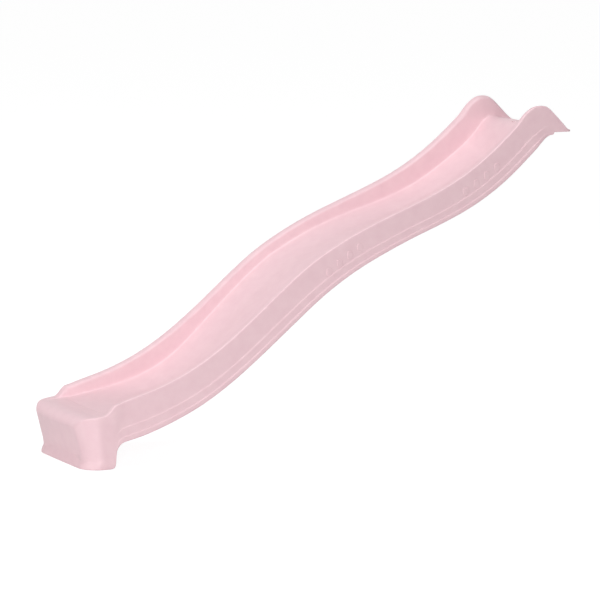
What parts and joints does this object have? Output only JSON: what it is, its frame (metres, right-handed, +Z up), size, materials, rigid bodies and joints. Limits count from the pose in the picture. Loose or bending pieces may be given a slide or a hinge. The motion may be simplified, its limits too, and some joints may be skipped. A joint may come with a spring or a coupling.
{
  "type": "playground slide",
  "caption": "Hollow moulded garden wave slide with rounded hand rails, a boxed foot, a start lip that screws to a platform and a water connection at the crest.",
  "frame": {"origin": "middle of the flat underside of the start lip, which rests on the platform, half way between the two walls", "axes": "+X from the foot up to the platform and past it, +Y to the far wall as seen from the near rail, +Z up"},
  "size_m": [2.0338, 0.495, 1.25],
  "materials": {
    "moulding": "satin, blow moulded polyethylene in pale pink",
    "nylon": "matte, injection moulded nylon",
    "steel": "bright stainless steel",
    "seal": "matte black rubber"
  },
  "bodies": {
    "root": {"slide_body": "moulding", "lip_screw_near": "steel", "lip_screw_far": "steel", "lip_washer_near": "steel", "lip_washer_far": "steel", "lip_screw_lid_near": "moulding", "lip_screw_lid_far": "moulding", "spray_nozzle": "nylon", "nozzle_seal": "seal", "nozzle_washer": "nylon", "nozzle_nut": "nylon", "hose_tail": "nylon", "hose_tail_cap": "nylon", "blow_hole_plug_lower": "moulding", "blow_hole_plug_upper": "moulding"}
  },
  "joints": []
}
